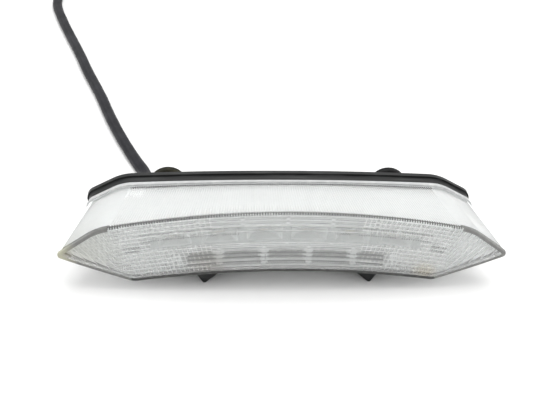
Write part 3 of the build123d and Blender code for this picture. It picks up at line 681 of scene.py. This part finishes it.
def lens_shade():
    """The teeth along its edges and the dashes in its face, painted dark as shade, with an olive stain
    at the left tip.
    """
    paint = lens_zone_plastic("lens_shade", (0.024, 0.025, 0.024), (0.065, 0.065, 0.061), 0.4, 0.08)
    paint.tint(paint.spot(LEFT_TIP, 11), (0.36, 0.34, 0.23))
    return paint.material


def lens_rim_shade_and_stain():
    """The rim of the face, painted grey as shade where the light is led away through the wall, with an
    olive stain at the left tip.
    """
    paint = lens_zone_plastic("lens_rim_shade_and_stain", (0.13, 0.13, 0.125), (0.18, 0.18, 0.17), 0.35, 0.15)
    paint.tint(paint.spot(LEFT_TIP, 12), (0.34, 0.335, 0.25))
    return paint.material


def lens_weld():
    """The flange, hazed by its weld to the housing."""
    return lens_zone_plastic("lens_weld", (0.52, 0.53, 0.53), (0.64, 0.65, 0.64), 0.4, 0.3).material


def lens_frost_and_highlight():
    """The inner walls and the ridges of the tips, frosted; on the ridges the frosted white is a painted
    highlight.
    """
    return lens_zone_plastic("lens_frost_and_highlight", (0.95, 0.96, 0.955), (0.99, 0.99, 0.985), 0.4, 0.25).material


def lens_crease():
    """The sharp creases between prisms, painted near white as highlights, since they scatter nearly all
    their light.
    """
    return lens_zone_plastic("lens_crease", (0.97, 0.975, 0.97), (0.88, 0.89, 0.88), 0.5, 0.1).material


def housing_plastic():
    """Black ABS with lighter streaks where it has rubbed."""
    paint = Paint("housing_black", (0.0085, 0.009, 0.009), 0.36, Specular_IOR_Level=0.3)
    streaks = paint.speckle(34, detail=6, rough=0.65, stretch=(1, 9, 9))
    paint.tint(paint.between(streaks, 0.52, 0.72, 0, 0.8), (0.038, 0.040, 0.039))
    dust = paint.speckle(240, detail=3)
    paint.tint(paint.between(dust, 0.6, 0.8, 0, 0.4), (0.045, 0.045, 0.043))
    paint.gloss(streaks, 0.24, 0.6)
    paint.grain(paint.speckle(1500, detail=2), 0.00003, 0.6)
    return paint.material


def rubber(name, colour, dust, amount):
    """Moulded rubber with dust in its pores and crumbled spots."""
    paint = Paint(name, colour, 0.62, Specular_IOR_Level=0.14)
    paint.tint(paint.between(paint.speckle(150, detail=6, rough=0.7), 0.5, 0.68, 0, amount), dust)
    coarse = paint.speckle(420, detail=6, rough=0.75)
    paint.gloss(coarse, 0.5, 0.85)
    paint.grain(coarse, 0.0005, 0.7)
    return paint.material


def vinyl():
    """Soft black vinyl over wires, dusty in its fine wrinkles."""
    paint = Paint("sheath_vinyl", (0.011, 0.011, 0.0135), 0.5, Specular_IOR_Level=0.16)
    paint.tint(paint.between(paint.speckle(45, detail=5), 0.45, 0.75, 0, 0.7), (0.026, 0.026, 0.031))
    wrinkles = paint.speckle(260, detail=4, rough=0.6, stretch=(1, 0.35, 1))
    paint.gloss(wrinkles, 0.32, 0.6)
    paint.grain(wrinkles, 0.0004, 0.45)
    return paint.material


def metal(name, colour, roughness):
    """Plated metal with brushed, slightly dull patches."""
    paint = Paint(name, colour, roughness, Metallic=1.0)
    dull = tuple(0.55 * channel for channel in colour)
    paint.tint(paint.between(paint.speckle(220, detail=5), 0.45, 0.75, 0, 0.6), dull)
    brushed = paint.speckle(500, detail=2, stretch=(1, 0.1, 1))
    paint.gloss(brushed, roughness - 0.08, roughness + 0.15)
    paint.grain(brushed, 0.00002, 0.5)
    return paint.material


# The tray's rows droop and its face bends back with the square of x in metres; the rest is in mm
ROW_DROOP, FACE_BEND = 1.18, 0.32
UPPER_ROW, LOWER_ROW = (35.8, 4.4, 5.2), (23.2, 3.3, 3.6)
CELLS_REACH, CELLS_FRONT, CELLS_BACK = (76, 79), (-32.6, -32.0), (-22.9, -22.0)
FACET_ROW, FACET_COLUMN = 2.52, 2.88
FACET_SIDES, FACET_TIPS = (44, 54), (84, 108)


def reflector_plastic():
    """Moulded white-silver plastic, with painted shade: its front is painted greyer, with fine dark
    facets, most of all in the band of the upper cells, and the insides of the cells are painted darker,
    the lower cells most."""
    paint = Paint("reflector_silver", (0.92, 0.935, 0.928), 0.26, Specular_IOR_Level=0.7)
    x_squared = paint.math("POWER", paint.axis("X"), 2)
    across = paint.math("ABSOLUTE", paint.axis("X"), 0)
    height = paint.math("ADD", paint.axis("Z"), paint.product(x_squared, ROW_DROOP))
    depth = paint.math("SUBTRACT", paint.axis("Y"), paint.product(x_squared, FACE_BEND))
    normal = paint.node("ShaderNodeSeparateXYZ")
    paint.join(paint.node("ShaderNodeTexCoord").outputs["Normal"], normal.inputs["Vector"])
    # Painted shade: the faces that look forward are painted greyer
    facing = paint.between(normal.outputs["Y"], -0.95, -0.8, 1, 0)
    paint.tint(facing, (0.79, 0.805, 0.80))

    # Painted shade: fine dark facets over the front, fading towards the tips
    rows = paint.math("SINE", paint.product(height, 2 * math.pi / (FACET_ROW * MM)), 0)
    columns = paint.math("SINE", paint.product(paint.axis("X"), 2 * math.pi / (FACET_COLUMN * MM)), 0)
    sides = paint.ramp(across, FACET_SIDES)
    facets = paint.between(paint.math("ADD", rows, paint.product(columns, sides)), 0.2, 0.7)
    fade = paint.ramp(across, FACET_TIPS, 0.8, 0.3)
    paint.tint(paint.product(facets, facing, fade), (0.19, 0.198, 0.195))

    # Painted shade: a darker band across the front along the upper row, and the insides of the cells
    # painted darker, the lower row most
    inside = paint.ramp(across, CELLS_REACH, 1, 0)
    cells = paint.product(inside, paint.ramp(depth, CELLS_FRONT), paint.ramp(depth, CELLS_BACK, 1, 0))
    upper = paint.band(height, *UPPER_ROW)
    lower = paint.band(height, *LOWER_ROW)
    paint.tint(paint.product(upper, inside, facing), (0.46, 0.48, 0.475))
    paint.tint(paint.product(lower, cells), (0.50, 0.51, 0.505))
    paint.tint(paint.product(upper, cells), (0.80, 0.82, 0.815))
    paint.gloss(paint.speckle(120), 0.18, 0.36)
    paint.grain(paint.speckle(700, detail=2), 0.00002, 0.4)
    return paint.material


build_lens(lens_plastic(), lens_shade(), lens_rim_shade_and_stain(), lens_weld(), lens_frost_and_highlight(), lens_crease())
build_sheath(vinyl())
put_on(housing_plastic(), "housing")
put_on(reflector_plastic(), "reflector_tray")
put_on(rubber("seal_butyl", (0.02, 0.02, 0.02), (0.05, 0.05, 0.05), 0.4), "lens_seal")
put_on(plastic("board_white", (0.76, 0.78, 0.76), 0.4, (0.66, 0.69, 0.67), 60), "led_board")
pale = plastic("led_pale", (0.82, 0.79, 0.74), 0.2, (0.66, 0.62, 0.5), 90)
put_on(pale, "leds_upper_row", "leds_lower_row")
put_on(plastic("resistor_lacquer", (0.52, 0.38, 0.22), 0.35, (0.35, 0.22, 0.12), 300), "resistors")
put_on(plastic("diode_epoxy", (0.02, 0.02, 0.02), 0.3, (0.06, 0.06, 0.06), 300), "polarity_diodes")
zinc = metal("zinc_plating", (0.62, 0.61, 0.57), 0.34)
put_on(zinc, "board_screws", "mount_stud_left", "mount_stud_right", "mount_collars")
put_on(plastic("terminal_nylon", (0.78, 0.74, 0.62), 0.42, (0.68, 0.62, 0.48), 90), "board_terminal")
put_on(plastic("wire_pvc_blue", (0.03, 0.09, 0.36), 0.4, (0.05, 0.14, 0.44), 90), "wire_tail")
put_on(plastic("wire_pvc_yellow", (0.68, 0.50, 0.05), 0.4, (0.56, 0.38, 0.04), 90), "wire_brake")
put_on(plastic("wire_pvc_black", (0.018, 0.018, 0.018), 0.4, (0.05, 0.05, 0.05), 90), "wire_ground")
put_on(rubber("rubber_olive", (0.012, 0.0115, 0.007), (0.040, 0.036, 0.018), 0.8), "mount_grommet_left")
dusty = rubber("rubber_black", (0.006, 0.006, 0.0064), (0.020, 0.0195, 0.018), 0.5)
put_on(dusty, "mount_grommet_right", "wire_grommet", "vent_cap")
put_on(rubber("shrink_tube", (0.016, 0.016, 0.018), (0.04, 0.04, 0.042), 0.4), "sheath_sleeve")
put_on(plastic("lead_pvc", (0.05, 0.05, 0.07), 0.42, (0.09, 0.09, 0.12), 90), "connector_leads")
put_on(rubber("seal_silicone", (0.42, 0.13, 0.04), (0.5, 0.22, 0.1), 0.4), "connector_seals")
put_on(metal("terminal_tin", (0.62, 0.56, 0.38), 0.3), "connector_terminals")
put_on(plastic("lock_nylon", (0.70, 0.68, 0.60), 0.42, (0.6, 0.57, 0.48), 90), "connector_lock")
matt = plastic("connector_nylon", (0.022, 0.022, 0.024), 0.5, (0.05, 0.05, 0.052), 140)
put_on(matt, "connector_housing", "connector_latch")


# ---------------------------------------------------------------- stage, light and camera
def floor_and_sky():
    """A plain white table and an even white surround."""
    grid = bmesh.new()
    bmesh.ops.create_grid(grid, x_segments=2, y_segments=2, size=6)
    mesh = bpy.data.meshes.new("table")
    grid.to_mesh(mesh)
    grid.free()
    table = bpy.data.objects.new("table", mesh)
    bpy.context.scene.collection.objects.link(table)
    paper = Paint("paper_white", (0.75, 0.75, 0.747), 0.8, Specular_IOR_Level=0.1)
    mesh.materials.append(paper.material)
    world = bpy.data.worlds.new("studio")
    world.use_nodes = True
    world.node_tree.nodes["Background"].inputs["Color"].default_value = (1, 1, 1, 1)
    world.node_tree.nodes["Background"].inputs["Strength"].default_value = 0.72
    bpy.context.scene.world = world


def soft_light(name, place, target, size, power):
    """A square softbox that looks at a point."""
    data = bpy.data.lights.new(name, "AREA")
    data.shape = "SQUARE"
    data.size = size
    data.energy = power
    lamp = bpy.data.objects.new(name, data)
    lamp.location = place
    lamp.rotation_euler = (Vector(target) - Vector(place)).to_track_quat("-Z", "Y").to_euler()
    bpy.context.scene.collection.objects.link(lamp)


VIEW_ELEVATION = math.radians(29.97)
VIEW_YAW = math.radians(5.94)
VIEW_ROLL = math.radians(2.98)
VIEW_DISTANCE = 623.5 * MM
VIEW_TARGET = Vector((-3.8, -13.0, 40.2)) * MM
VIEW_LENS = 73.2


def photo_camera():
    """The photograph's view: turned by the yaw, raised by the elevation, and rolled a little."""
    turn = Matrix.Rotation(-VIEW_YAW, 3, "Z")
    rise, flat = math.sin(VIEW_ELEVATION), math.cos(VIEW_ELEVATION)
    forward = turn @ Vector((0, flat, -rise))
    right = turn @ Vector((1, 0, 0))
    up = turn @ Vector((0, rise, flat))
    side = math.cos(VIEW_ROLL) * right + math.sin(VIEW_ROLL) * up
    above = math.cos(VIEW_ROLL) * up - math.sin(VIEW_ROLL) * right
    camera = bpy.data.objects.new("camera", bpy.data.cameras.new("camera"))
    camera.data.sensor_width = 36
    camera.data.lens = VIEW_LENS
    place = turn @ VIEW_TARGET - forward * VIEW_DISTANCE
    pose = Matrix((side, above, -forward)).transposed().to_4x4()
    camera.matrix_world = Matrix.Translation(place) @ pose
    camera.data.clip_start = 0.02
    bpy.context.scene.collection.objects.link(camera)
    bpy.context.scene.camera = camera


floor_and_sky()
soft_light("softbox_top", (0.05, 0.1, 1.4), (0, 0, 0), 1.2, 10)
soft_light("softbox_back", (0.1, 0.55, 1.3), (0, 0, 0), 1.0, 7)
soft_light("softbox_front", (-0.1, -1.0, 0.60), (0, 0, 0), 0.5, 2)
for side_name, side in (("softbox_left", -1), ("softbox_right", 1)):
    soft_light(side_name, (side * 1.0, -0.25, 0.40), (side * 0.1, 0, 0), 0.5, 6)
photo_camera()

bpy.context.scene.view_settings.view_transform = "Standard"
